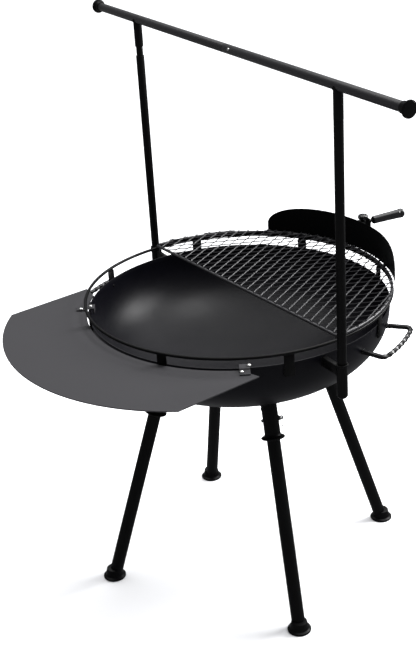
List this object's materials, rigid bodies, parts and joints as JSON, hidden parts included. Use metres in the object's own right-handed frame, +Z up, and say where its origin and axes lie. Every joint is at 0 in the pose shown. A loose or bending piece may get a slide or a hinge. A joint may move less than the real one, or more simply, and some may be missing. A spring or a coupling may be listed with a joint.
{
  "type": "fire pit with grate",
  "caption": "Round steel fire bowl on splayed tube legs, with a swivelling half-moon grate, a side shelf and a lift-off crossbar frame for hanging pots.",
  "frame": {"origin": "on the floor under the middle of the whole object's box; the bowl's axis is 0.0542 m towards +Y", "axes": "+X along the crossbar to the right, +Y to the back (heat shield side), -Y to the side shelf, +Z up"},
  "size_m": [1.377, 1.1202, 1.4085],
  "materials": {
    "bowl_black_coat": "high-temperature satin black coat, slightly bluish",
    "satin_black_coat": "satin black powder coat",
    "dark_grey_coat": "satin dark grey powder coat",
    "charcoal_coat": "flat charcoal powder coat",
    "wire_grey_coat": "satin grey-black coat on wire and expanded metal",
    "gloss_black_plastic": "glossy black moulded grip",
    "bright_zinc": "bright zinc plating"
  },
  "bodies": {
    "stand": {"fire_bowl": "bowl_black_coat", "rail_ring": "satin_black_coat", "rail_tab_1": "satin_black_coat", "rail_tab_2": "satin_black_coat", "rail_tab_3": "satin_black_coat", "rail_tab_4": "satin_black_coat", "rail_tab_5": "satin_black_coat", "rail_tab_6": "satin_black_coat", "rail_tab_7": "satin_black_coat", "rail_tab_8": "satin_black_coat", "leg_socket_front": "satin_black_coat", "leg_tube_front": "satin_black_coat", "foot_cap_front": "satin_black_coat", "leg_socket_right": "satin_black_coat", "leg_tube_right": "satin_black_coat", "foot_cap_right": "satin_black_coat", "leg_socket_back": "satin_black_coat", "leg_tube_back": "satin_black_coat", "foot_cap_back": "satin_black_coat", "leg_socket_left": "satin_black_coat", "leg_tube_left": "satin_black_coat", "foot_cap_left": "satin_black_coat", "carry_handle_left": "satin_black_coat", "carry_handle_right": "satin_black_coat", "pole_socket_left": "satin_black_coat", "pole_socket_right": "satin_black_coat", "side_shelf": "charcoal_coat", "shelf_hook_left": "charcoal_coat", "shelf_hook_right": "charcoal_coat", "shelf_bolt_1": "bright_zinc", "shelf_bolt_2": "bright_zinc"},
    "hook_frame": {"pole_left": "satin_black_coat", "pole_right": "satin_black_coat"},
    "crossbar": {"bar_half_left": "dark_grey_coat", "bar_half_right": "dark_grey_coat", "bar_coupler": "bright_zinc", "bar_stub_left": "dark_grey_coat", "bar_stub_right": "dark_grey_coat", "pole_spigot_left": "bright_zinc", "pole_spigot_right": "bright_zinc", "end_cap_left": "dark_grey_coat", "end_cap_right": "dark_grey_coat"},
    "bar_button": {"snap_button": "bright_zinc"},
    "grate": {"grate_frame": "wire_grey_coat", "grate_mesh": "wire_grey_coat", "heat_shield": "satin_black_coat", "shield_strap_left": "satin_black_coat", "shield_strap_right": "satin_black_coat", "grip_bracket": "satin_black_coat", "grip_stem": "satin_black_coat", "grate_grip": "gloss_black_plastic"},
    "knob": {"clamp_knob": "gloss_black_plastic"},
    "pull_pin_front": {"leg_pin_front": "bright_zinc", "pull_ring_front": "bright_zinc"},
    "pull_pin_right": {"leg_pin_right": "bright_zinc", "pull_ring_right": "bright_zinc"},
    "pull_pin_back": {"leg_pin_back": "bright_zinc", "pull_ring_back": "bright_zinc"},
    "pull_pin_left": {"leg_pin_left": "bright_zinc", "pull_ring_left": "bright_zinc"}
  },
  "joints": [
    {"name": "grate_swivel", "type": "hinge", "parent": "stand", "child": "grate", "pos_m": [0, 0.05421, 0.785], "axis": [0, 0, 1], "range_deg": [-80, 80]},
    {"name": "clamp_knob_turn", "type": "hinge", "parent": "grate", "child": "knob", "pos_m": [-0.02864, 0.46371, 0.8675], "axis": [0, 0, 1], "continuous": true},
    {"name": "hook_frame_lift", "type": "slide", "parent": "stand", "child": "hook_frame", "axis": [0, 0, 1], "range_m": [0, 0.075]},
    {"name": "crossbar_lift", "type": "slide", "parent": "hook_frame", "child": "crossbar", "axis": [0, 0, 1], "range_m": [0, 0.045]},
    {"name": "snap_button_press", "type": "slide", "parent": "crossbar", "child": "bar_button", "axis": [0, 0.9397, -0.342], "range_m": [0, 0.0025], "stiffness_N_per_m": 300},
    {"name": "pin_pull_front", "type": "slide", "parent": "stand", "child": "pull_pin_front", "axis": [0.9724, -0.2334, 0], "range_m": [0, 0.045]},
    {"name": "pin_pull_right", "type": "slide", "parent": "stand", "child": "pull_pin_right", "axis": [0.2334, 0.9724, 0], "range_m": [0, 0.045]},
    {"name": "pin_pull_back", "type": "slide", "parent": "stand", "child": "pull_pin_back", "axis": [-0.9724, 0.2334, 0], "range_m": [0, 0.045]},
    {"name": "pin_pull_left", "type": "slide", "parent": "stand", "child": "pull_pin_left", "axis": [-0.2334, -0.9724, 0], "range_m": [0, 0.045]}
  ]
}
